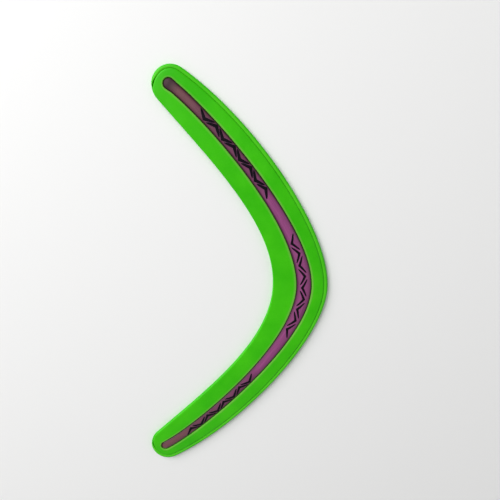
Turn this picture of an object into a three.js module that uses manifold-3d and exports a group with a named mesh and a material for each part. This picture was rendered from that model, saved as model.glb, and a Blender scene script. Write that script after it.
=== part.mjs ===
// A two-armed returning boomerang in soft moulded polymer, lying on its flat underside.
//
// It is built in three layers. The wing base is a thin plate with the full outline, flat
// below, and a raised rim along the outside of the elbow and round both tips. The wing skin
// is the crowned upper surface. It sits inside the rim and reaches the inner edge. The spine
// is a stiffer strip from tip to tip. Its flange lies in a channel of the base, the skin
// holds the flange down, and its crowned face shows through a slot in the skin.
//
// Frame: +Z up with the underside at Z = 0, +Y from tip to tip, the elbow towards +X, and
// the origin at the middle of the footprint. The two arms mirror each other across Y = 0.

import * as THREE from 'three';
import Module from 'manifold-3d';

const wasm = await Module();
wasm.setup();

// Driving dimensions of the plan, in millimetres and degrees.
const SPAN = 346; // along Y, tip to tip
const DEPTH = 150; // along X, tips to the outside of the elbow
const ELBOW_WIDTH = 47; // from the inner edge to the outer edge on the axis of symmetry
const TIP_RADIUS = 15; // round end of each arm
const TIP_HEADING = 140; // way the arm points at its tip, from +X towards +Y
const INNER_JOIN = 224; // place on the round end where the inner edge runs into it
const OUTER_JOIN = 59; // place on the round end where the outer edge runs into it
const INNER_HANDLES = [52, 64]; // pull of the inner edge's curve at the elbow and the tip
const OUTER_HANDLES = [48, 70]; // the same for the outer edge
const TIP_FACET = 5; // half of the small flat that closes each round end

// Driving dimensions of the section.
const JOINT_GAP = 0.3; // clearance between neighbouring pieces
const BASE_THICKNESS = 2.4;
const RIM_HEIGHT = 4.4;
const RIM_WIDTH = 3.2;
const RIM_EDGE_HEIGHT = 2.4; // height of the outer wall below the rim's rounding
const RIM_ROUNDING = 2.2;
const UNDERSIDE_ROUNDING = 0.9;
const SKIN_TOP = 5.2;
const SKIN_CROWN = 0.3; // rise of the skin's middle above its shoulders
const SKIN_EDGE_WALL = 1.4; // upright part of the skin's edge
const SKIN_SHOULDER = 1.4; // width of the rounding along the skin's edges
const SKIN_EDGE_INSET = 0.15;
const RIM_FADE = [0.88, 1]; // shares of the inner edge between which the rim comes up
const POCKET_OVERHANG = 2; // the pocket is cut this far past the inner edge, which has no rim

// Driving dimensions of the spine.
const SLOT_HALF_WIDTH_ELBOW = 6.55;
const SLOT_HALF_WIDTH_TIP = 3.85;
const SLOT_TAPER_LENGTH = 53; // distance from the elbow at which half of the taper is done
const SPINE_ELBOW_X = 54.5;
const SPINE_END = [-65.3, 160.5];
const SPINE_END_HEADING = 156;
const SPINE_HANDLES = [57, 22];
const SPINE_HEAD_SWELL = 0.4; // extra half width of the rounded head at the +Y end
const SPINE_HEAD_REACH = 10; // length of the strip that the head takes up
const SPINE_EDGE_TOP = 4.6;
const SPINE_CREST = 5.8;
const FLANGE_OVERLAP = 2.4; // how far the flange reaches under the skin on each side
const CHANNEL_FLOOR = 1.0;

// Fineness of the solids.
const STATIONS = 34; // sections along each arm
const WING_CROWDING = 0.35; // how much closer the wing's sections are near the tips
const SPINE_CROWDING = 1.5; // the same for the spine, as the power of its spacing
const EDGE_COLUMNS = [0, 0.4, 1.4, 2.6, 6]; // distances from an edge, in millimetres
const COLUMN_SHARE = 0.09; // spacing of those columns where the chord is short
const SPINE_COLUMNS = [0, 0.12, 0.3, 0.5, 0.7, 0.88, 1];
const SPINE_END_MARGIN = 0.25; // the last section stops this far short of the round end
const ABOVE_ALL = 9; // height to which a cutter reaches
const FULL_CHORD = 40; // chord at which the skin has its full crown

const GREEN_PLASTIC = { color: 0x3dbe12, roughness: 0.45, metalness: 0 };
const PURPLE_PLASTIC = { color: 0x8f4283, roughness: 0.4, metalness: 0 };

function smoothStep(from, to, value) {
  const share = THREE.MathUtils.clamp((value - from) / (to - from), 0, 1);
  return share * share * (3 - 2 * share);
}

// Rise of a quarter-round edge, from 0 at the edge to 1 at the given radius.
function quarterRound(distance, radius) {
  const remaining = 1 - Math.min(distance / radius, 1);
  return Math.sqrt(1 - remaining * remaining);
}

function unitVector(degrees) {
  const angle = THREE.MathUtils.degToRad(degrees);
  return new THREE.Vector2(Math.cos(angle), Math.sin(angle));
}

// ---- Plan: the two edges of the +Y arm, each from the axis of symmetry to the tip ----

const tipCentre = new THREE.Vector2(TIP_RADIUS - DEPTH / 2, SPAN / 2 - TIP_RADIUS);

// An edge leaves the axis square to it, and meets the round end along its tangent.
function wingEdge(elbowX, handles, joinAngle, turn) {
  const radial = unitVector(joinAngle);
  const backward = unitVector(joinAngle + turn * 90);
  const join = tipCentre.clone().addScaledVector(radial, TIP_RADIUS);
  const control = join.clone().addScaledVector(backward, handles[1]);
  const edge = new THREE.Path();
  edge.moveTo(elbowX, 0);
  edge.bezierCurveTo(elbowX, handles[0], control.x, control.y, join.x, join.y);
  const from = THREE.MathUtils.degToRad(joinAngle);
  const to = THREE.MathUtils.degToRad(TIP_HEADING + turn * TIP_FACET);
  edge.absarc(tipCentre.x, tipCentre.y, TIP_RADIUS, from, to, turn > 0);
  return edge;
}

const innerEdge = wingEdge(DEPTH / 2 - ELBOW_WIDTH, INNER_HANDLES, INNER_JOIN, 1);
const outerEdge = wingEdge(DEPTH / 2, OUTER_HANDLES, OUTER_JOIN, -1);

// Point of an edge, moved into the wing by the inset. The wing lies to the right of the
// inner edge and to the left of the outer edge.
function insetPoint(edge, share, inset, side) {
  const point = edge.getPointAt(share);
  const tangent = edge.getTangentAt(share);
  return new THREE.Vector2(point.x + side * inset * tangent.y, point.y - side * inset * tangent.x);
}

// Sections are a little closer together near the tips, where the edges turn most.
function stationShare(step) {
  return step * (1 + WING_CROWDING * (1 - step));
}

// The chords of a layer, from the -Y tip to the +Y tip. The outer edge is inset by rimInset
// all along. The inner edge is inset by edgeInset, and by rimInset round the tip.
function wingRows(edgeInset, rimInset) {
  const rows = [];
  for (let station = -STATIONS; station <= STATIONS; station += 1) {
    const share = stationShare(Math.abs(station) / STATIONS);
    const side = station < 0 ? -1 : 1;
    const innerInset = THREE.MathUtils.lerp(edgeInset, rimInset, smoothStep(...RIM_FADE, share));
    const inner = insetPoint(innerEdge, share, innerInset, 1);
    const outer = insetPoint(outerEdge, share, rimInset, -1);
    inner.y *= side;
    outer.y *= side;
    rows.push([inner, outer]);
  }
  return rows;
}

// ---- Spine: a strip along its own centre line ----

const spineLine = new THREE.CubicBezierCurve(
  new THREE.Vector2(SPINE_ELBOW_X, 0),
  new THREE.Vector2(SPINE_ELBOW_X, SPINE_HANDLES[0]),
  new THREE.Vector2(...SPINE_END).addScaledVector(unitVector(SPINE_END_HEADING), -SPINE_HANDLES[1]),
  new THREE.Vector2(...SPINE_END),
);
const spineLength = spineLine.getLength();

function slotHalfWidth(distance, side) {
  const taper = 1 / (1 + (distance / SLOT_TAPER_LENGTH) ** 2);
  const width = THREE.MathUtils.lerp(SLOT_HALF_WIDTH_TIP, SLOT_HALF_WIDTH_ELBOW, taper);
  const nearEnd = spineLength - distance;
  const head = 1 - smoothStep(SPINE_HEAD_REACH / 2, SPINE_HEAD_REACH, nearEnd);
  return side > 0 ? width + SPINE_HEAD_SWELL * head : width;
}

// The chords of the strip grown sideways by the given amount, with a round end on each arm.
function stripRows(growth) {
  const rows = [];
  for (let station = -STATIONS; station <= STATIONS; station += 1) {
    const step = Math.abs(station) / STATIONS;
    const side = station < 0 ? -1 : 1;
    const length = spineLength + growth - SPINE_END_MARGIN;
    const distance = length * (1 - (1 - step) ** SPINE_CROWDING);
    const share = Math.min(distance / spineLength, 1);
    const centre = spineLine.getPointAt(share);
    const tangent = spineLine.getTangentAt(share);
    centre.addScaledVector(tangent, distance - share * spineLength);
    const fullHalf = slotHalfWidth(distance, side) + growth;
    const leftOfEnd = Math.min(spineLength + growth - distance, fullHalf);
    const half = Math.sqrt(fullHalf ** 2 - (fullHalf - leftOfEnd) ** 2);
    const across = new THREE.Vector2(tangent.y, -tangent.x);
    const inner = centre.clone().addScaledVector(across, -half);
    const outer = centre.clone().addScaledVector(across, half);
    inner.y *= side;
    outer.y *= side;
    rows.push([inner, outer]);
  }
  return rows;
}

// ---- Solids ----

// Places of the columns along a chord, as shares of it: close together near both edges.
function wingColumns(chord) {
  const near = EDGE_COLUMNS.map((distance, index) =>
    Math.min(distance / chord, index * COLUMN_SHARE),
  );
  const far = near.map((share) => 1 - share).reverse();
  return [...near, 0.5, ...far];
}

function stripColumns() {
  return SPINE_COLUMNS;
}

// Closed solid between two height fields over the same chords. topAt and bottomAt take the
// distance from the nearer end of the chord, the share along the chord and the chord length.
function slab(rows, columnsOf, topAt, bottomAt) {
  const top = [];
  const bottom = [];
  for (const [inner, outer] of rows) {
    const chord = inner.distanceTo(outer);
    for (const share of columnsOf(chord)) {
      const point = inner.clone().lerp(outer, share);
      const fromEdge = Math.min(share, 1 - share) * chord;
      top.push(point.x, point.y, topAt(fromEdge, share, chord));
      bottom.push(point.x, point.y, bottomAt(fromEdge, share, chord));
    }
  }
  const below = top.length / 3; // number of the first point of the lower field
  const across = below / rows.length;
  const triangles = [];
  const quad = (a, b, c, d) => triangles.push(a, b, c, a, c, d);
  const last = across - 1;
  for (let here = 0; here < below - across; here += across) {
    const next = here + across;
    for (let a = here, b = next; a < here + last; a += 1, b += 1) {
      quad(a, a + 1, b + 1, b);
      quad(below + a, below + b, below + b + 1, below + a + 1);
    }
    quad(here, next, below + next, below + here);
    quad(here + last, below + here + last, below + next + last, next + last);
  }
  const lastRow = below - across;
  for (let column = 0; column < last; column += 1) {
    const end = lastRow + column;
    quad(column, below + column, below + column + 1, column + 1);
    quad(end, end + 1, below + end + 1, below + end);
  }
  return new wasm.Manifold(
    new wasm.Mesh({
      numProp: 3,
      vertProperties: new Float32Array([...top, ...bottom]),
      triVerts: new Uint32Array(triangles),
    }),
  );
}

function geometryOf(solid) {
  const mesh = solid.getMesh();
  const geometry = new THREE.BufferGeometry();
  geometry.setAttribute('position', new THREE.BufferAttribute(mesh.vertProperties, 3));
  geometry.setIndex(new THREE.BufferAttribute(mesh.triVerts, 1));
  geometry.computeVertexNormals();
  return geometry;
}

// Plate with the full outline, a rounded rim, a pocket for the skin and a channel for the
// spine's flange. The pocket runs out over the inner edge, where there is no rim.
function makeWingBase() {
  const plate = slab(
    wingRows(0, 0),
    wingColumns,
    (fromEdge) => {
      const rise = quarterRound(fromEdge, RIM_ROUNDING);
      return THREE.MathUtils.lerp(RIM_EDGE_HEIGHT, RIM_HEIGHT, rise);
    },
    (fromEdge) => UNDERSIDE_ROUNDING * (1 - quarterRound(fromEdge, UNDERSIDE_ROUNDING)),
  );
  const pocket = slab(
    wingRows(-POCKET_OVERHANG, RIM_WIDTH),
    wingColumns,
    () => ABOVE_ALL,
    () => BASE_THICKNESS,
  );
  const channel = slab(
    stripRows(FLANGE_OVERLAP + JOINT_GAP),
    stripColumns,
    () => ABOVE_ALL,
    () => CHANNEL_FLOOR,
  );
  return plate.subtract(pocket).subtract(channel);
}

// Crowned upper surface with rounded shoulders and the slot for the spine.
function makeWingSkin() {
  const underside = BASE_THICKNESS + JOINT_GAP;
  const wallTop = underside + SKIN_EDGE_WALL;
  const cover = slab(
    wingRows(SKIN_EDGE_INSET, RIM_WIDTH + JOINT_GAP),
    wingColumns,
    (fromEdge, share, chord) => {
      const crown = SKIN_CROWN * 4 * share * (1 - share) * Math.min(chord / FULL_CHORD, 1);
      return THREE.MathUtils.lerp(wallTop, SKIN_TOP + crown, quarterRound(fromEdge, SKIN_SHOULDER));
    },
    () => underside,
  );
  const slot = slab(
    stripRows(0),
    stripColumns,
    () => ABOVE_ALL,
    () => CHANNEL_FLOOR,
  );
  return cover.subtract(slot);
}

// Crowned strip on a flat flange.
function makeSpine() {
  const flangeBottom = CHANNEL_FLOOR + JOINT_GAP;
  const crownStrip = slab(
    stripRows(-JOINT_GAP),
    stripColumns,
    (fromEdge, share) => {
      const rise = Math.sin(Math.PI * share);
      return THREE.MathUtils.lerp(SPINE_EDGE_TOP, SPINE_CREST, rise);
    },
    () => flangeBottom,
  );
  const flange = slab(
    stripRows(FLANGE_OVERLAP),
    stripColumns,
    () => BASE_THICKNESS,
    () => flangeBottom,
  );
  return crownStrip.add(flange);
}

function addPiece(group, name, solid, finish) {
  const mesh = new THREE.Mesh(geometryOf(solid), new THREE.MeshStandardMaterial(finish));
  mesh.name = name;
  group.add(mesh);
}

const boomerang = new THREE.Group();
addPiece(boomerang, 'wing_base', makeWingBase(), GREEN_PLASTIC);
addPiece(boomerang, 'wing_skin', makeWingSkin(), GREEN_PLASTIC);
addPiece(boomerang, 'spine', makeSpine(), PURPLE_PLASTIC);

export default boomerang;
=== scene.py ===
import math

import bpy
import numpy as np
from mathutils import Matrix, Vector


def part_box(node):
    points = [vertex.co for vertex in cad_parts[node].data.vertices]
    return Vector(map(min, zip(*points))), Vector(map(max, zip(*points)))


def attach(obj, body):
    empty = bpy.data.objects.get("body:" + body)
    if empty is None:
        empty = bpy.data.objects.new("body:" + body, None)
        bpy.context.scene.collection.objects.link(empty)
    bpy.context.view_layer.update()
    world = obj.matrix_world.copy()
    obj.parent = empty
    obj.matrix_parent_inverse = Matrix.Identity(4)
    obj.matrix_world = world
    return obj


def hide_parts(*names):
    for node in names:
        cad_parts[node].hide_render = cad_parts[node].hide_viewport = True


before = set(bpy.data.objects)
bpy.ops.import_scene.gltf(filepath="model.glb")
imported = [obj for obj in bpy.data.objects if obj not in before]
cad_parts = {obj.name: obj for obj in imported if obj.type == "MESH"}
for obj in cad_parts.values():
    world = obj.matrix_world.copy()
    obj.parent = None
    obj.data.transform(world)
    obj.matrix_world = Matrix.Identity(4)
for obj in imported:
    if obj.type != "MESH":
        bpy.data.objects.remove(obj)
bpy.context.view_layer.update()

# A two-armed returning boomerang in soft green polymer, lying on its flat underside.
#
# Three pieces stand for the three CAD nodes: the wing base with its rim, the crowned wing
# skin with a slot from tip to tip, and the purple spine strip that shows through the slot.
# All three are swept round the same rays, which start on the strip's centre line and run
# out to the wing's outline, so the pieces fit each other with an even gap. A fourth piece
# is the thin layer of printed marks, laid on the strip.
#
# Lengths are in metres, and the angles named here in degrees. The highest and lowest points
# of the pieces and the extent of the plan come from the frame's boxes.

base_low, base_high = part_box("wing_base")
skin_low, skin_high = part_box("wing_skin")
spine_low, spine_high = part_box("spine")

MM = 0.001

# Plan of the wing.
ELBOW_WIDTH = 47 * MM
TIP_RADIUS = 15 * MM
TIP_HEADING = 140
INNER_JOIN = 224  # places on the round end where the two edges run into it
OUTER_JOIN = 59
INNER_HANDLES = (52 * MM, 64 * MM)  # pull of an edge's curve at the elbow and at the tip
OUTER_HANDLES = (48 * MM, 70 * MM)
TIP_CENTRE = np.array([base_low.x + TIP_RADIUS, base_high.y - TIP_RADIUS])

# Plan of the spine and of the slot that it shows through.
SPINE_ELBOW_X = 54.5 * MM
SPINE_END = np.array([-65.3, 160.5]) * MM
SPINE_END_HEADING = 156
SPINE_HANDLES = (57 * MM, 22 * MM)
SLOT_HALF_WIDTH_ELBOW = 6.55 * MM
SLOT_HALF_WIDTH_TIP = 3.85 * MM
SLOT_TAPER_LENGTH = 53 * MM
HEAD_SWELL = 0.4 * MM
HEAD_REACH = 10 * MM
FLANGE_OVERLAP = 2.4 * MM

# Section.
JOINT_GAP = 0.3 * MM
RIM_WIDTH = 3.2 * MM
RIM_HEIGHT = base_high.z
RIM_EDGE_HEIGHT = 2.4 * MM
RIM_ROUNDING = 2.2 * MM
RIM_FADE = (0.88, 1)
RIM_OVERHANG = 2 * MM  # how far past the inner edge the pocket for the skin would run
RIMLESS_ROUNDING = 0.6 * MM  # rounding of the plate's edge where there is no rim
RIMLESS_EDGE_HEIGHT = 1.8 * MM
UNDERSIDE_ROUNDING = 0.9 * MM
PLATE_TOP = skin_low.z - JOINT_GAP
CHANNEL_FLOOR = spine_low.z - JOINT_GAP
SKIN_BOTTOM = skin_low.z
SKIN_CROWN = 0.3 * MM
SKIN_TOP = skin_high.z - SKIN_CROWN
SKIN_EDGE_WALL = 1.55 * MM  # upright part of the skin's edge
SKIN_WALL_TOP = SKIN_BOTTOM + SKIN_EDGE_WALL
SKIN_SHOULDER = 1.4 * MM
BARE_SHOULDER = 0.7 * MM  # the same along the inner edge, where there is no rim
SHOULDER_ROUNDNESS = 2.4  # power of the shoulder's rise, 2 being a parabola
SKIN_EASE_DROP = 0.35 * MM  # slow fall of the skin towards its edges, before the shoulder
SKIN_EASE_REACH = 12 * MM
SKIN_EDGE_INSET = 0.15 * MM
SLOT_LIP = 0.9 * MM  # rounding of the slot's upper edge
FULL_CROWN_REACH = 20 * MM
MARK_HEIGHT = 0.03 * MM  # how far the printed marks stand proud
SPINE_CREST = spine_high.z - MARK_HEIGHT
SPINE_EDGE_TOP = 4.6 * MM
SPINE_EDGE_ROUNDING = 1.1 * MM
RIM_LIP = 0.9 * MM  # rounding of the rim's inner edge, along the joint
RIM_LIP_DROP = 0.5 * MM
LEAST_LIP = 0.1 * MM  # the same lip where the rim has faded out
JOINT_CLOSING = 0.13 * MM  # how far each side of the rim's joint closes up, as in the moulding
FILLET = 0.25 * MM  # small rounding of hidden edges
DRAFT = 0.04 * MM  # lean of the rim's inner wall

# Printed marks: groups of plain V marks, as place of the middle, number, distance of the
# pattern's middle line from the strip's, reach of the points, reach of the arms' ends and
# width at the points.
MARK_PITCH = 10.2 * MM
MARK_ARM = 7.4 * MM  # half of a mark's length along the strip
MARK_END_WIDTH = 0.7 * MM
MARK_TAPER = 0.5  # power of the growth in width from an arm's end to the point
MARK_DEPTH = 0.12 * MM
MARK_GROUPS = (
    (128.7 * MM, 8, 0.45 * MM, 1.5 * MM, 2.3 * MM, 3.0 * MM),
    (2.0 * MM, 9, -0.4 * MM, 1.4 * MM, 2.9 * MM, 2.3 * MM),
    (-134.9 * MM, 8, 0.45 * MM, 1.5 * MM, 2.3 * MM, 2.5 * MM),
)

# Fineness of the meshes.
CURVE_POINTS = 1500
ARM_STATIONS = 96
FAN_STEPS = 24
MARK_STEPS = 9
MARK_CROWDING = 0.8  # power of the spacing of those steps along an arm
MARK_COLUMNS = 7

# Colours, as linear red, green and blue.
GREEN_DEEP = (0.032, 0.45, 0.002)
GREEN_LIGHT = (0.05, 0.52, 0.004)
GREEN_SPECKLE = (0.06, 0.57, 0.012)
# Rubbed wear on the rim, also a painted highlight for the light line along its lip.
GREEN_RUBBED_AND_LIT = (0.1, 0.62, 0.02)
# Painted highlight on the slot's rounded lip, standing in for its reflection.
GREEN_LIP_HIGHLIGHT = (0.19, 0.42, 0.07)
# Painted shade in the joints and recesses of the green pieces.
GREEN_PAINTED_SHADE = (0.01, 0.26, 0.001)
PURPLE_DEEP = (0.23, 0.045, 0.16)
PURPLE_LIGHT = (0.3, 0.065, 0.21)
PURPLE_ENDS = (0.13, 0.055, 0.045)
PURPLE_MARKED = (0.05, 0.012, 0.02)
PURPLE_HEAD = (0.03, 0.012, 0.02)
# Painted shade along the strip's edges.
PURPLE_SIDE_SHADE = (0.06, 0.012, 0.03)
# Painted shade in the gap where the strip meets the slot.
PURPLE_PAINTED_SHADE = (0.03, 0.007, 0.016)
INK_FULL = (0.004, 0.001, 0.005)
INK_THIN = (0.03, 0.008, 0.027)
# Paler border: a painted highlight along the marks' edges.
INK_EDGE_HIGHLIGHT = (0.2, 0.09, 0.19)
FLOOR_COLOUR = (0.86, 0.86, 0.855, 1)

# Distances along the strip, from the elbow, between which its colour changes.
ENDS_RAMP = (85 * MM, 185 * MM)
MARKED_START_RAMP = (84 * MM, 94 * MM)
MARKED_END_RAMP = (168 * MM, 178 * MM)
HEAD_RAMP = (192 * MM, 200 * MM)

# Floor, light and camera.
FLOOR_HALF_SIZE = 3.0
FLOOR_DROP = 0.02 * MM  # clearance below the object's flat underside
SKY_STRENGTH = 0.3
HORIZON_STRENGTH = 0.8
HORIZON_BAND = (0.04, 0.22)  # upward part of a direction, from horizon to plain sky
SOFTBOXES = (  # name, place, size and power
    ("key", (-1.15, 0.96, 1.12), 1.44, 41.5),
    ("right", (1.1, 0.1, 0.8), 0.8, 1.5),
    ("low", (-0.1, -1.1, 0.8), 0.8, 1),
)
CAMERA_PLACE = Vector((-4.2, 113.9, 339.1)) * MM
CAMERA_LOOK = Vector((0.0317, -0.2361, -0.9712))
CAMERA_UP = Vector((-0.048, 0.9702, -0.2374))
CAMERA_SENSOR = 36  # in millimetres, as the lens is
CAMERA_LENS = 29.9
CAMERA_NEAR_CLIP = 0.01


def smooth_step(low, high, value):
    share = np.clip((value - low) / (high - low), 0, 1)
    return share * share * (3 - 2 * share)


def lerp(low, high, share):
    return low + (high - low) * share


def quarter_round(distance, radius):
    """Rise of a quarter-round edge, from 0 at the edge to 1 at the given radius."""
    remaining = 1 - np.minimum(distance / radius, 1)
    return np.sqrt(1 - remaining**2)


def unit_vector(degrees):
    return np.array([math.cos(math.radians(degrees)), math.sin(math.radians(degrees))])


# ---- Plan curves of the +Y arm ----


def bezier(corners):
    """Points and unit tangents of a cubic Bezier curve."""
    a, b, c, d = corners
    t = np.linspace(0, 1, CURVE_POINTS)[:, None]
    points = (1 - t) ** 3 * a + 3 * (1 - t) ** 2 * t * b + 3 * (1 - t) * t**2 * c + t**3 * d
    tangents = (1 - t) ** 2 * (b - a) + 2 * (1 - t) * t * (c - b) + t**2 * (d - c)
    return points, tangents / np.linalg.norm(tangents, axis=1)[:, None]


def path_distances(points):
    steps = np.linalg.norm(np.diff(points, axis=0), axis=1)
    return np.concatenate([[0], np.cumsum(steps)])


def wing_edge(elbow_x, handles, join_angle, turn):
    """One long edge from the elbow to the round end, which it meets along its tangent."""
    join = TIP_CENTRE + TIP_RADIUS * unit_vector(join_angle)
    control = join + handles[1] * unit_vector(join_angle + turn * 90)
    start = np.array([elbow_x, 0.0])
    return bezier((start, start + [0, handles[0]], control, join))[0]


inner_edge = wing_edge(base_high.x - ELBOW_WIDTH, INNER_HANDLES, INNER_JOIN, 1)
outer_edge = wing_edge(base_high.x, OUTER_HANDLES, OUTER_JOIN, -1)
round_end = np.array(
    [
        TIP_CENTRE + TIP_RADIUS * unit_vector(angle)
        for angle in np.linspace(INNER_JOIN, OUTER_JOIN, CURVE_POINTS)
    ]
)
outline = np.concatenate([inner_edge, round_end[1:-1], outer_edge[::-1]])
outline_distance = path_distances(outline)
tip_distance = outline_distance[
    np.argmin(np.linalg.norm(outline - (TIP_CENTRE + TIP_RADIUS * unit_vector(TIP_HEADING)), axis=1))
]

spine_start = np.array([SPINE_ELBOW_X, 0.0])
spine_points, spine_tangents = bezier(
    (
        spine_start,
        spine_start + [0, SPINE_HANDLES[0]],
        SPINE_END - SPINE_HANDLES[1] * unit_vector(SPINE_END_HEADING),
        SPINE_END,
    )
)
spine_distances = path_distances(spine_points)
spine_length = spine_distances[-1]


def spine_at(distance):
    """Place on the strip's centre line and its direction, for the +Y arm."""
    place = [np.interp(distance, spine_distances, spine_points[:, axis]) for axis in (0, 1)]
    way = [np.interp(distance, spine_distances, spine_tangents[:, axis]) for axis in (0, 1)]
    return np.array(place), np.array(way) / math.hypot(*way)


def slot_half_width(distance, side):
    taper = 1 / (1 + (distance / SLOT_TAPER_LENGTH) ** 2)
    width = lerp(SLOT_HALF_WIDTH_TIP, SLOT_HALF_WIDTH_ELBOW, taper)
    head = 1 - smooth_step(HEAD_REACH / 2, HEAD_REACH, spine_length - distance)
    return width + HEAD_SWELL * head if side > 0 else width


# ---- Rays from the strip's centre line to the outline ----


def ray_to_outline(origin, direction):
    """Length of a ray up to the outline, its length per unit of inset there, and how far
    round the outline it lands, as a share of the way from the elbow to the tip."""
    offset = outline - origin
    aside = direction[0] * offset[:, 1] - direction[1] * offset[:, 0]
    ahead = offset @ direction
    crossings = np.nonzero((aside[:-1] * aside[1:] <= 0) & (ahead[:-1] > 0))[0]
    index = crossings[np.argmin(ahead[crossings])]
    share = aside[index] / (aside[index] - aside[index + 1])
    way = outline[index + 1] - outline[index]
    outward = np.array([-way[1], way[0]]) / math.hypot(*way)
    landing = lerp(outline_distance[index], outline_distance[index + 1], share)
    return lerp(ahead[index], ahead[index + 1], share), 1 / (outward @ direction), landing / tip_distance


def make_ray(side, centre, origin, direction, slot, along, lean):
    reach, slant, landing = ray_to_outline(origin, direction)
    rim = smooth_step(*RIM_FADE, landing) if landing < 1 else 1.0
    return {
        "centre": centre,
        "origin": origin * [1, side],
        "direction": direction * [1, side],
        "slot": slot,
        "reach": reach,
        "slant": slant,
        "rim": rim,
        "along": side * along,
        "lean": lean,
    }


def arm_rays(side):
    """Rays of one arm, from the outside of the elbow round the tip to the inside. The lean
    is the ray's angle from straight across the strip on the outer side, up to a half turn."""
    end = spine_length - slot_half_width(spine_length, side)
    rays = []
    for station in range(ARM_STATIONS + 1):
        along = end * station / ARM_STATIONS
        place, way = spine_at(along)
        outward = np.array([way[1], -way[0]])
        half = slot_half_width(along, side)
        rays.append(make_ray(side, station, place, outward, half, along, 0.0))
    for step in range(1, FAN_STEPS):
        lean = math.pi * step / FAN_STEPS
        direction = math.cos(lean) * outward + math.sin(lean) * way
        rays.append(make_ray(side, ARM_STATIONS, place, direction, half, along, lean))
    for station in range(ARM_STATIONS, -1, -1):
        along = end * station / ARM_STATIONS
        place, way = spine_at(along)
        inward = np.array([-way[1], way[0]])
        half = slot_half_width(along, side)
        rays.append(make_ray(side, station, place, inward, half, along, math.pi))
    return rays


def all_rays():
    """The rays of both arms as one loop, with the numbers of the centre line's points."""
    upper = arm_rays(1)
    lower = arm_rays(-1)[::-1][1:-1]
    for ray in lower:
        ray["centre"] += ARM_STATIONS
    return upper + lower


rays = all_rays()
RAY_COUNT = len(rays)
ray_origin = np.array([ray["origin"] for ray in rays])
ray_direction = np.array([ray["direction"] for ray in rays])
ray_slot = np.array([ray["slot"] for ray in rays])
ray_reach = np.array([ray["reach"] for ray in rays])
ray_slant = np.array([ray["slant"] for ray in rays])
ray_rim = np.array([ray["rim"] for ray in rays])
ray_along = np.array([ray["along"] for ray in rays])
ray_lean = np.array([ray["lean"] for ray in rays])
ray_centre = [ray["centre"] for ray in rays]
centre_count = 2 * ARM_STATIONS + 1
centre_ray = [ray_centre.index(number) for number in range(centre_count)]


def from_slot(distance):
    return ray_slot + distance


def from_edge(inset):
    return ray_reach - inset * ray_slant


# ---- Meshes swept round the rays ----


# What a point of a mesh is part of, from 0 to 1, for the materials: an edge that rubs and
# also gets a painted highlight, a joint or recess that gets painted shade, and the lip of
# the slot, which gets a painted highlight.
MASKS = ("edge", "cavity", "lip")


class Sweep:
    """A section given as rings: each ring has one point on every ray. The rings run from
    the middle of the upper side outwards, down, and back to the middle underneath."""

    def __init__(self):
        self.rings = []

    def ring(self, reach, height, **masks):
        full = np.ones(RAY_COUNT)
        values = [masks.get(name, 0.0) * full for name in MASKS]
        self.rings.append((reach * full, height * full, values))

    def corner(self, start, corner, end, steps=3, **masks):
        """Rings round a corner, from start to end, each given as (reach, height)."""
        for t in np.linspace(0, 1, steps + 1):
            weights = ((1 - t) ** 2, 2 * (1 - t) * t, t * t)
            reach = sum(w * point[0] for w, point in zip(weights, (start, corner, end)))
            height = sum(w * point[1] for w, point in zip(weights, (start, corner, end)))
            self.ring(reach, height, **masks)

    def flat(self, start, end, height, steps):
        """Rings between two reaches, without the two ends."""
        for step in range(1, steps):
            share = step / steps
            self.ring(lerp(start, end, share), height)

    def build(self, name, middle_heights=None):
        """The closed mesh. With middle heights, for the top and the bottom, the section is
        closed over the centre line. Without them its last ring joins its first."""
        points = []
        masks = []
        strip = []
        for reach, height, values in self.rings:
            plan = ray_origin + ray_direction * reach[:, None]
            points += [(x, y, z) for (x, y), z in zip(plan, height)]
            masks += list(zip(*values))
            sign = np.sign(ray_along) + (ray_along == 0)
            along = ray_along + sign * reach * np.sin(ray_lean)
            strip += list(zip(along, reach * np.cos(ray_lean), reach / ray_slot))
        faces = []
        ring_count = len(self.rings)
        joined = ring_count if middle_heights is None else ring_count - 1
        for number in range(joined):
            here = number * RAY_COUNT
            there = (number + 1) % ring_count * RAY_COUNT
            for ray in range(RAY_COUNT):
                beside = (ray + 1) % RAY_COUNT
                faces.append((here + ray, there + ray, there + beside, here + beside))
        if middle_heights is not None:
            for top, height in zip((True, False), middle_heights):
                middle = len(points)
                for ray in centre_ray:
                    points.append((*ray_origin[ray], height))
                    masks.append((0.0,) * len(MASKS))
                    strip.append((ray_along[ray], 0.0, 0.0))
                first = 0 if top else (ring_count - 1) * RAY_COUNT
                for ray in range(RAY_COUNT):
                    beside = (ray + 1) % RAY_COUNT
                    spread = [middle + ray_centre[ray], middle + ray_centre[beside]]
                    if spread[0] == spread[1]:
                        spread = spread[:1]
                    rim = [first + ray, first + beside]
                    faces.append((*spread[::-1], *rim) if top else (*rim[::-1], *spread))
        return make_object(name, points, faces, masks, strip)


def make_object(name, points, faces, masks, strip):
    mesh = bpy.data.meshes.new(name)
    mesh.from_pydata(points, [], faces)
    mesh.validate()
    for number, label in enumerate(MASKS):
        attribute = mesh.attributes.new(label, "FLOAT", "POINT")
        values = np.array([mask[number] for mask in masks], dtype=np.float32)
        attribute.data.foreach_set("value", values)
    attribute = mesh.attributes.new("strip", "FLOAT_VECTOR", "POINT")
    attribute.data.foreach_set("vector", np.array(strip, dtype=np.float32).ravel())
    mesh.shade_smooth()
    piece = bpy.data.objects.new(name, mesh)
    bpy.context.scene.collection.objects.link(piece)
    normals = piece.modifiers.new("even_normals", "WEIGHTED_NORMAL")
    normals.keep_sharp = True
    return piece


def rim_top(inset):
    return lerp(RIM_EDGE_HEIGHT, RIM_HEIGHT, quarter_round(inset, RIM_ROUNDING))


def rimless_top(inset):
    return lerp(RIMLESS_EDGE_HEIGHT, PLATE_TOP, quarter_round(inset, RIMLESS_ROUNDING))


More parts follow.
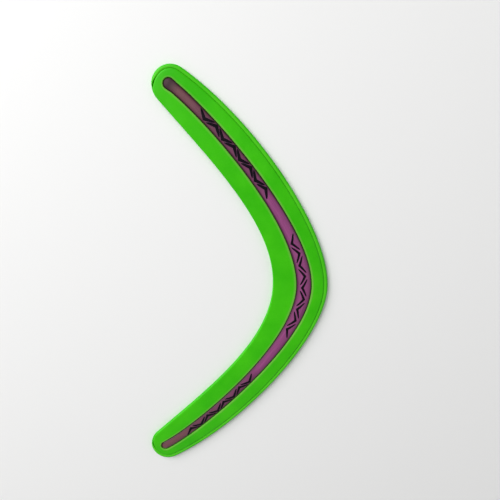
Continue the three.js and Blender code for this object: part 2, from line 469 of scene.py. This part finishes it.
def make_wing_base():
    """Plate with a rounded rim, a pocket for the skin and a channel for the flange."""
    sweep = Sweep()
    channel = from_slot(FLANGE_OVERLAP + JOINT_GAP)
    sweep.ring(channel / 2, CHANNEL_FLOOR)
    sweep.corner(
        (channel - FILLET, CHANNEL_FLOOR), (channel, CHANNEL_FLOOR), (channel, CHANNEL_FLOOR + FILLET)
    )
    sweep.corner((channel, PLATE_TOP - FILLET), (channel, PLATE_TOP), (channel + FILLET, PLATE_TOP))
    pocket_inset = lerp(-RIM_OVERHANG, RIM_WIDTH + JOINT_CLOSING, ray_rim)
    width = np.maximum(pocket_inset, RIMLESS_ROUNDING)
    shown = smooth_step(RIMLESS_ROUNDING, 2 * RIMLESS_ROUNDING, pocket_inset)
    sweep.flat(channel + FILLET, from_edge(width + FILLET), PLATE_TOP, 5)
    crest = rim_top(width)
    lip = lerp(LEAST_LIP, RIM_LIP, shown)
    inner_wall = [
        (width + FILLET, PLATE_TOP, 1.0),
        (width + FILLET / 4, PLATE_TOP + FILLET / 8, 1.0),
        (width, PLATE_TOP + FILLET / 2, 1.0),
    ]
    # The cavity mask sets painted shade in the joint; the edge mask sets the rubbed wear and painted
    # highlight along the rim's lip.
    for share, cavity in ((0, 0.4), (0.1, 0.1), (0.3, 0.0), (0.6, 0.0), (1, 0.0)):
        drop = RIM_LIP_DROP * (1 - quarter_round(share, 1))
        inner_wall.append((width - DRAFT - share * lip, crest - drop, cavity))
    for inset, rim_height, cavity in inner_wall:
        height = lerp(rimless_top(inset), np.minimum(rim_height, crest), shown)
        rub_and_highlight = shown * (1 - cavity)
        sweep.ring(from_edge(inset), height, cavity=cavity * shown, edge=rub_and_highlight)
    for share in (0.85, 0.7, 0.55, 0.42, 0.3, 0.19, 0.1, 0.04, 0):
        inset = share * (width - DRAFT - lip)
        rub_and_highlight = shown * smooth_step(0.2, 0.75, share)
        sweep.ring(from_edge(inset), lerp(rimless_top(inset), rim_top(inset), shown), edge=rub_and_highlight)
    sweep.ring(from_edge(0), lerp(UNDERSIDE_ROUNDING, RIM_EDGE_HEIGHT, 0.5))
    for angle in (0, 15, 30, 45, 60, 75, 90):
        out, up = unit_vector(angle)
        inset = UNDERSIDE_ROUNDING * (1 - out)
        sweep.ring(from_edge(inset), UNDERSIDE_ROUNDING * (1 - up) + base_low.z)
    sweep.flat(from_edge(UNDERSIDE_ROUNDING), 0, base_low.z, 8)
    return sweep.build("wing_base_moulding", (CHANNEL_FLOOR, base_low.z))


def make_wing_skin():
    """Crowned cover with rounded shoulders and a lipped slot."""
    sweep = Sweep()
    inset = lerp(SKIN_EDGE_INSET, RIM_WIDTH + JOINT_GAP - JOINT_CLOSING, ray_rim)
    edge = from_edge(inset)
    crown = SKIN_CROWN * np.minimum((edge - ray_slot) / FULL_CROWN_REACH, 1)

    def top_at(reach):
        share = (reach - ray_slot) / (edge - ray_slot)
        ease = np.clip(1 - (edge - reach) / SKIN_EASE_REACH, 0, 1) ** 2
        return SKIN_TOP + crown * (1 - share**2) - SKIN_EASE_DROP * ease

    slot = from_slot(0)
    # The cavity mask puts painted shade on the slot's walls, the joint and the hidden faces.
    sweep.ring(slot, SKIN_BOTTOM + FILLET / 2, cavity=1.0)
    sweep.ring(slot, lerp(SKIN_BOTTOM, SKIN_TOP, 0.5), cavity=1.0)
    lip = top_at(slot)
    # The lip mask places a painted highlight on the slot's rounded edge.
    sweep.corner((slot, lip - SLOT_LIP), (slot, lip), (slot + SLOT_LIP, lip), 6, lip=1.0)
    shoulder_width = lerp(BARE_SHOULDER, SKIN_SHOULDER, ray_rim)
    shoulder = from_edge(inset + shoulder_width)
    for step in range(1, 10):
        reach = lerp(slot + SLOT_LIP, shoulder, step / 10)
        sweep.ring(reach, top_at(reach))
    for share in (1, 0.85, 0.7, 0.56, 0.43, 0.31, 0.2, 0.12, 0.06, 0.02, 0):
        reach = from_edge(inset + share * shoulder_width)
        height = lerp(SKIN_WALL_TOP, top_at(reach), 1 - (1 - share) ** SHOULDER_ROUNDNESS)
        cavity = 0.1 * (1 - smooth_step(0, 0.12, share))
        sweep.ring(reach, height, cavity=cavity * ray_rim)
    sweep.ring(edge, SKIN_BOTTOM + FILLET / 2, cavity=ray_rim)
    sweep.ring(from_edge(inset + FILLET / 2), SKIN_BOTTOM, cavity=ray_rim)
    sweep.flat(edge, slot, SKIN_BOTTOM, 6)
    sweep.ring(slot + FILLET / 2, SKIN_BOTTOM, cavity=1.0)
    return sweep.build("wing_skin_moulding")


def strip_height(reach, half):
    """Height of the crowned strip at a distance from its centre line."""
    share = np.clip(reach / half, 0, 1)
    return lerp(SPINE_EDGE_TOP, SPINE_CREST, np.cos(share * math.pi / 2))


def make_spine():
    """Crowned strip with rounded edges on a flat flange."""
    sweep = Sweep()
    half = from_slot(-JOINT_GAP)
    for share in (0.12, 0.25, 0.38, 0.5, 0.61, 0.71):
        sweep.ring(share * half, strip_height(share * half, half))
    start = half - SPINE_EDGE_ROUNDING
    # The cavity mask puts painted shade on the strip's rounded edges and the flange.
    sweep.corner(
        (start, strip_height(start, half)),
        (half, SPINE_EDGE_TOP),
        (half, SPINE_EDGE_TOP - SPINE_EDGE_ROUNDING),
        6,
        cavity=0.7,
    )
    flange_top = PLATE_TOP
    sweep.corner((half, flange_top + FILLET), (half, flange_top), (half + FILLET, flange_top), cavity=1.0)
    flange = from_slot(FLANGE_OVERLAP)
    sweep.corner((flange - FILLET, flange_top), (flange, flange_top), (flange, flange_top - FILLET))
    bottom = spine_low.z
    sweep.corner((flange, bottom + FILLET), (flange, bottom), (flange - FILLET, bottom))
    sweep.flat(flange - FILLET, 0, bottom, 4)
    return sweep.build("spine_strip", (SPINE_CREST, bottom))


# ---- Printed marks ----


def on_strip(along, across, lift):
    """Point on the strip's crowned face. Across is positive towards the outer edge."""
    side = 1 if along >= 0 else -1
    place, way = spine_at(abs(along))
    plan = place + across * np.array([way[1], -way[0]])
    half = slot_half_width(abs(along), side) - JOINT_GAP
    return (plan[0], side * plan[1], strip_height(abs(across), half) + lift)


def add_mark(points, faces, strip, tip, ends, width):
    """One V mark as a thin closed solid. It is widest at its point and narrow at its ends."""
    arm = np.array(ends[0]) - tip
    bisector = np.array([0.0, math.copysign(1.0, tip[1] - ends[0][1])])
    miter = bisector * width / 2 * math.hypot(*arm) / abs(arm[0])
    first = len(points)
    shares = [(step / MARK_STEPS) ** MARK_CROWDING for step in range(MARK_STEPS)]
    stations = [(ends[0], share) for share in shares + [1.0]]
    stations += [(ends[1], share) for share in shares[::-1]]
    for end, share in stations:
        middle = lerp(np.array(end), tip, share)
        spread = miter * lerp(MARK_END_WIDTH / width, 1, share**MARK_TAPER)
        for lift in (MARK_HEIGHT, -MARK_DEPTH):
            for sign in np.linspace(1, -1, MARK_COLUMNS):
                along, across = middle + sign * spread
                points.append(on_strip(along, across, lift))
                strip.append((along, across, abs(sign)))
    rows = 2 * MARK_STEPS + 1
    upper = list(range(MARK_COLUMNS))
    lower = list(range(MARK_COLUMNS, 2 * MARK_COLUMNS))
    loop = upper + lower[::-1]
    flip = bisector[1] < 0
    for row in range(rows - 1):
        here = first + len(loop) * row
        there = here + len(loop)
        for a, b in zip(loop, loop[1:] + loop[:1]):
            face = (here + a, here + b, there + b, there + a)
            faces.append(face[::-1] if flip else face)
    for row, outwards in ((0, True), (rows - 1, False)):
        start = first + len(loop) * row
        for column in range(MARK_COLUMNS - 1):
            face = [start + column, start + column + 1]
            face += [corner + MARK_COLUMNS for corner in face[::-1]]
            faces.append(tuple(face[::-1] if outwards != flip else face))


def make_marks():
    points = []
    faces = []
    strip = []
    for middle, count, shift, point_reach, end_reach, width in MARK_GROUPS:
        side = 1 if middle > 0 else -1
        for number in range(count):
            along = middle + side * ((count - 1) / 2 - number) * MARK_PITCH
            turn = -1 if number % 2 == 0 else 1
            tip = np.array([along, shift + turn * point_reach])
            ends = [(along + way * MARK_ARM, shift - turn * end_reach) for way in (1, -1)]
            add_mark(points, faces, strip, tip, ends, width)
    masks = [(0.0,) * len(MASKS)] * len(points)
    return make_object("spine_marks", points, faces, masks, strip)


# ---- Materials ----


class Finish:
    """A node material with one Principled shader."""

    def __init__(self, name, **sockets):
        self.material = bpy.data.materials.new(name)
        self.material.use_nodes = True
        self.tree = self.material.node_tree
        self.tree.nodes.clear()
        output = self.tree.nodes.new("ShaderNodeOutputMaterial")
        self.shader = self.tree.nodes.new("ShaderNodeBsdfPrincipled")
        self.tree.links.new(self.shader.outputs[0], output.inputs[0])
        for label, value in sockets.items():
            self.shader.inputs[label.replace("_", " ")].default_value = value

    def add(self, kind, inputs, **settings):
        """A node. An input is a plain value or another node's output."""
        node = self.tree.nodes.new("ShaderNode" + kind)
        for label, value in settings.items():
            setattr(node, label, value)
        for label, value in inputs.items():
            socket = node.inputs[label]
            if isinstance(value, bpy.types.NodeSocket):
                self.tree.links.new(value, socket)
            else:
                socket.default_value = value
        return node

    def place(self):
        return self.add("TexCoord", {}).outputs["Object"]

    def mask(self, name):
        return self.add("Attribute", {}, attribute_name=name).outputs["Fac"]

    def noise(self, vector, scale, detail=2, roughness=0.5):
        inputs = {"Vector": vector, "Scale": scale, "Detail": detail, "Roughness": roughness}
        return self.add("TexNoise", inputs).outputs["Fac"]

    def remap(self, value, low, high, to_low, to_high):
        inputs = {"Value": value, "From Min": low, "From Max": high, "To Min": to_low, "To Max": to_high}
        return self.add("MapRange", inputs).outputs["Result"]

    def multiply(self, a, b):
        return self.add("Math", {0: a, 1: b}, operation="MULTIPLY").outputs[0]

    def mix(self, factor, a, b):
        node = self.add("Mix", {"Factor": factor}, data_type="RGBA")
        for socket, value in ((node.inputs[6], a), (node.inputs[7], b)):
            if isinstance(value, bpy.types.NodeSocket):
                self.tree.links.new(value, socket)
            else:
                socket.default_value = (*value, 1)
        return node.outputs[2]

    def bump(self, height, distance, strength, below=None):
        inputs = {"Height": height, "Distance": distance, "Strength": strength}
        if below is not None:
            inputs["Normal"] = below
        return self.add("Bump", inputs).outputs["Normal"]

    def drive(self, label, socket):
        self.tree.links.new(socket, self.shader.inputs[label])


def green_polymer():
    """Soft moulded polymer: satin, faintly pebbled, lighter where edges have rubbed, with a painted
    highlight on the rim's lip and the slot's lip and painted shade in the joints.
    """
    finish = Finish("green_polymer", Specular_IOR_Level=0.13)
    place = finish.place()
    flow = finish.noise(place, scale=28, detail=3, roughness=0.6)
    speck = finish.noise(place, scale=1400)
    tone = finish.remap(flow, 0.35, 0.65, 0, 1)
    colour = finish.mix(tone, GREEN_DEEP, GREEN_LIGHT)
    speckle = finish.remap(speck, 0.6, 0.75, 0, 0.35)
    colour = finish.mix(speckle, colour, GREEN_SPECKLE)
    # Rubbed wear along the rim, also a painted highlight on its lip.
    rubbed_and_lit = finish.multiply(finish.mask("edge"), finish.remap(flow, 0.3, 0.7, 0.35, 0.75))
    colour = finish.mix(rubbed_and_lit, colour, GREEN_RUBBED_AND_LIT)
    # Painted highlight on the slot's lip.
    lip_highlight = finish.multiply(finish.mask("lip"), finish.remap(flow, 0.3, 0.7, 0.4, 0.7))
    colour = finish.mix(lip_highlight, colour, GREEN_LIP_HIGHLIGHT)
    # Painted shade in the joints.
    painted_shade = finish.remap(finish.mask("cavity"), 0, 1, 0, 0.4)
    colour = finish.mix(painted_shade, colour, GREEN_PAINTED_SHADE)
    finish.drive("Base Color", colour)
    wear = finish.noise(place, scale=220, detail=4, roughness=0.6)
    finish.drive("Roughness", finish.remap(wear, 0.3, 0.7, 0.34, 0.5))
    waves = finish.bump(finish.noise(place, scale=55, detail=1), 0.35 * MM, strength=0.35)
    pebble = finish.bump(finish.noise(place, scale=1100), 0.05 * MM, strength=0.3, below=waves)
    finish.drive("Normal", pebble)
    return finish.material


def purple_plastic():
    """Harder plastic with flow lines along the strip, darker at its ends and marks, with painted shade at
    its edges and in the joints.
    """
    finish = Finish("purple_plastic", Specular_IOR_Level=0.4)
    strip = finish.add("Attribute", {}, attribute_name="strip").outputs["Vector"]
    stretched = finish.add("Mapping", {"Vector": strip, "Scale": (60, 1500, 1)}).outputs[0]
    streak = finish.noise(stretched, scale=1, detail=3, roughness=0.6)
    colour = finish.mix(finish.remap(streak, 0.35, 0.65, 0, 1), PURPLE_DEEP, PURPLE_LIGHT)
    split = finish.add("SeparateXYZ", {0: strip})
    along = finish.add("Math", {0: split.outputs[0]}, operation="ABSOLUTE").outputs[0]
    ends = finish.remap(along, *ENDS_RAMP, 0, 0.85)
    colour = finish.mix(ends, colour, PURPLE_ENDS)
    marked_start = finish.remap(along, *MARKED_START_RAMP, 0, 0.35)
    marked_end = finish.remap(along, *MARKED_END_RAMP, 1, 0)
    colour = finish.mix(finish.multiply(marked_start, marked_end), colour, PURPLE_MARKED)
    head = finish.remap(split.outputs[0], *HEAD_RAMP, 0, 0.85)
    colour = finish.mix(head, colour, PURPLE_HEAD)
    # Painted shade along the strip's edges.
    side_shade = finish.remap(split.outputs[2], 0.35, 1, 0, 0.6)
    colour = finish.mix(side_shade, colour, PURPLE_SIDE_SHADE)
    # Painted shade in the gap beside the slot.
    painted_shade = finish.remap(finish.mask("cavity"), 0, 1, 0, 0.6)
    colour = finish.mix(painted_shade, colour, PURPLE_PAINTED_SHADE)
    finish.drive("Base Color", colour)
    sheen = finish.remap(streak, 0.3, 0.7, 0.36, 0.5)
    dull = finish.multiply(head, 0.35)
    finish.drive("Roughness", finish.add("Math", {0: sheen, 1: dull}, operation="ADD").outputs[0])
    lines = finish.bump(streak, 0.03 * MM, strength=0.4)
    grain = finish.noise(finish.place(), scale=900)
    finish.drive("Normal", finish.bump(grain, 0.03 * MM, strength=0.25, below=lines))
    return finish.material


def black_ink():
    """Printed ink with a faint violet cast, thin spots and a paler outline, which is a painted highlight
    along the marks' edges.
    """
    finish = Finish("black_ink", Specular_IOR_Level=0.12)
    place = finish.place()
    thin = finish.remap(finish.noise(place, scale=700, detail=3), 0.58, 0.75, 0, 0.6)
    colour = finish.mix(thin, INK_FULL, INK_THIN)
    strip = finish.add("Attribute", {}, attribute_name="strip").outputs["Vector"]
    split = finish.add("SeparateXYZ", {0: strip})
    # Painted highlight along the marks' edges.
    edge_highlight = finish.remap(split.outputs[2], 0.86, 0.96, 0, 0.7)
    colour = finish.mix(edge_highlight, colour, INK_EDGE_HIGHLIGHT)
    finish.drive("Base Color", colour)
    finish.drive("Roughness", finish.remap(finish.noise(place, scale=400), 0.3, 0.7, 0.4, 0.6))
    finish.drive("Normal", finish.bump(finish.noise(place, scale=1500), 0.02 * MM, strength=0.3))
    return finish.material


# ---- The object ----


def place_piece(piece, material, slot, *nodes):
    piece.data.materials.append(material)
    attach(piece, "root")
    if nodes:
        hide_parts(*nodes)


green = green_polymer()
place_piece(make_wing_base(), green, "wing_base", "wing_base")
place_piece(make_wing_skin(), green, "wing_skin", "wing_skin")
place_piece(make_spine(), purple_plastic(), "spine", "spine")
place_piece(make_marks(), black_ink(), "print_black")


# ---- Floor, light and camera ----


def make_floor():
    half = FLOOR_HALF_SIZE
    corners = [(-half, -half, 0), (half, -half, 0), (half, half, 0), (-half, half, 0)]
    mesh = bpy.data.meshes.new("floor")
    mesh.from_pydata(corners, [], [(0, 1, 2, 3)])
    floor = bpy.data.objects.new("floor", mesh)
    floor.location.z = base_low.z - FLOOR_DROP
    bpy.context.scene.collection.objects.link(floor)
    pale = Finish("pale_floor", Base_Color=FLOOR_COLOUR, Roughness=0.7)
    mesh.materials.append(pale.material)


def add_softbox(name, place, size, power):
    """A square area light that faces the middle of the object."""
    light = bpy.data.lights.new(name, "AREA")
    light.shape = "SQUARE"
    light.size = size
    light.energy = power
    lamp = bpy.data.objects.new(name, light)
    lamp.location = place
    lamp.rotation_euler = (-Vector(place)).to_track_quat("-Z", "Y").to_euler()
    bpy.context.scene.collection.objects.link(lamp)


def make_light():
    """An even sky that is brighter near the horizon, and the softboxes."""
    world = bpy.data.worlds.new("studio")
    world.use_nodes = True
    tree = world.node_tree
    background = tree.nodes["Background"]
    background.inputs["Color"].default_value = (1, 1, 1, 1)
    split = tree.nodes.new("ShaderNodeSeparateXYZ")
    tree.links.new(tree.nodes.new("ShaderNodeTexCoord").outputs["Generated"], split.inputs[0])
    glow = tree.nodes.new("ShaderNodeMapRange")
    glow.inputs["From Min"].default_value = HORIZON_BAND[0]
    glow.inputs["From Max"].default_value = HORIZON_BAND[1]
    glow.inputs["To Min"].default_value = HORIZON_STRENGTH
    glow.inputs["To Max"].default_value = SKY_STRENGTH
    tree.links.new(split.outputs[2], glow.inputs["Value"])
    tree.links.new(glow.outputs["Result"], background.inputs["Strength"])
    bpy.context.scene.world = world
    for softbox in SOFTBOXES:
        add_softbox(*softbox)


def make_camera():
    """The photograph's view: close above the +Y arm, looking a little towards -Y."""
    look = CAMERA_LOOK.normalized()
    right = look.cross(CAMERA_UP.normalized()).normalized()
    up = right.cross(look)
    data = bpy.data.cameras.new("camera")
    data.sensor_width = CAMERA_SENSOR
    data.lens = CAMERA_LENS
    data.clip_start = CAMERA_NEAR_CLIP
    camera = bpy.data.objects.new("camera", data)
    rotation = Matrix((right, up, -look)).transposed().to_4x4()
    camera.matrix_world = Matrix.Translation(CAMERA_PLACE) @ rotation
    bpy.context.scene.collection.objects.link(camera)
    bpy.context.scene.camera = camera


make_floor()
make_light()
make_camera()
bpy.context.scene.view_settings.view_transform = "Standard"
